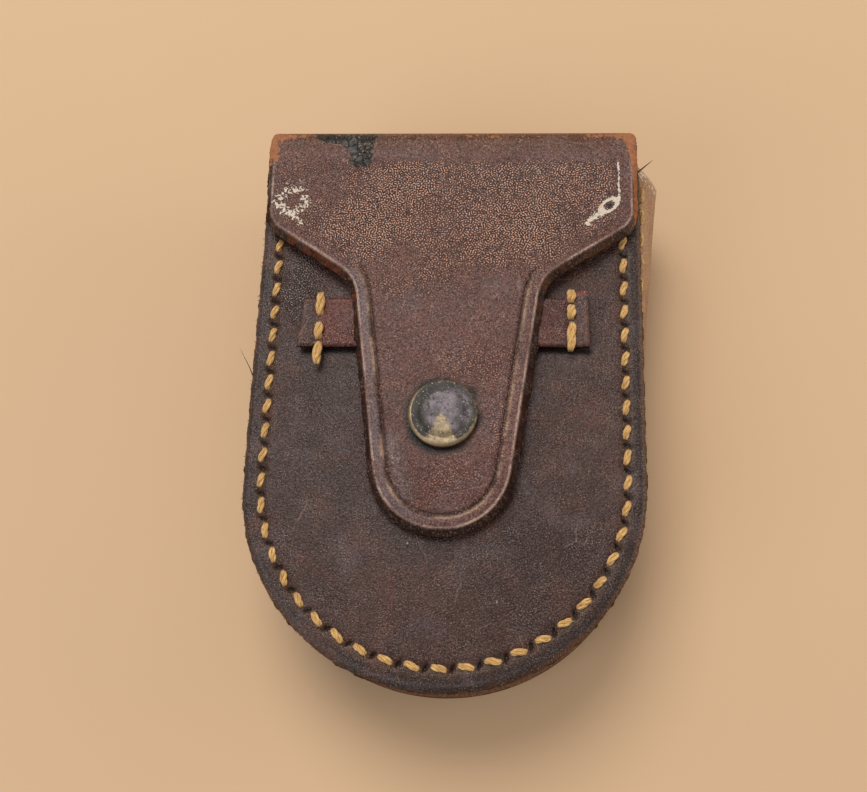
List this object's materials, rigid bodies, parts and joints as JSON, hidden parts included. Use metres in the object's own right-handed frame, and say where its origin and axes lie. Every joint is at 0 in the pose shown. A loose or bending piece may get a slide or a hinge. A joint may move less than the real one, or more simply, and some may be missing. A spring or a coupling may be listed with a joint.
{
  "type": "leather belt pouch",
  "caption": "Small leather belt pouch with a round bottom, a side strip, a flap with a tongue closed by a press stud, and a belt loop on its back.",
  "frame": {"origin": "middle of the pouch's width and length, on the plane it rests on, which is the outer face of its belt loop", "axes": "+X along the width, +Y along the length towards the folded top, +Z out of the front; rest is the closed pouch lying on its back"},
  "size_m": [0.08, 0.106, 0.034],
  "materials": {
    "brown_leather": "worn, dark brown, fine grain",
    "flap_leather": "worn, purple brown, pebbled grain",
    "strap_leather": "worn, red brown, smooth",
    "tan_leather": "undyed, matt, streaked",
    "waxed_thread": "waxed, golden, fuzzy",
    "aged_brass": "aged, blue grey with worn brass spots",
    "spring_steel": "plain wire"
  },
  "bodies": {
    "case": {"back_panel": "brown_leather", "front_panel": "brown_leather", "gusset": "tan_leather", "cross_strap": "strap_leather", "belt_loop": "strap_leather", "rim_stitches_front": "waxed_thread", "rim_stitches_back": "waxed_thread", "gusset_stitches_front": "waxed_thread", "gusset_stitches_back": "waxed_thread", "strap_stitches_left": "waxed_thread", "strap_stitches_right": "waxed_thread", "loop_stitches_top": "waxed_thread", "loop_stitches_bottom": "waxed_thread", "snap_stud": "aged_brass", "snap_post": "aged_brass"},
    "roof": {"roof_panel": "flap_leather"},
    "flap": {"flap": "flap_leather", "snap_cap": "aged_brass", "snap_socket": "aged_brass", "socket_spring": "spring_steel"}
  },
  "joints": [
    {"name": "roof_fold", "type": "hinge", "parent": "case", "child": "roof", "pos_m": [0, 0.0508, 0.0088], "axis": [-1, 0, 0], "range_deg": [0, 90]},
    {"name": "flap_fold", "type": "hinge", "parent": "roof", "child": "flap", "pos_m": [0, 0.0508, 0.0298], "axis": [-1, 0, 0], "range_deg": [0, 90]}
  ]
}
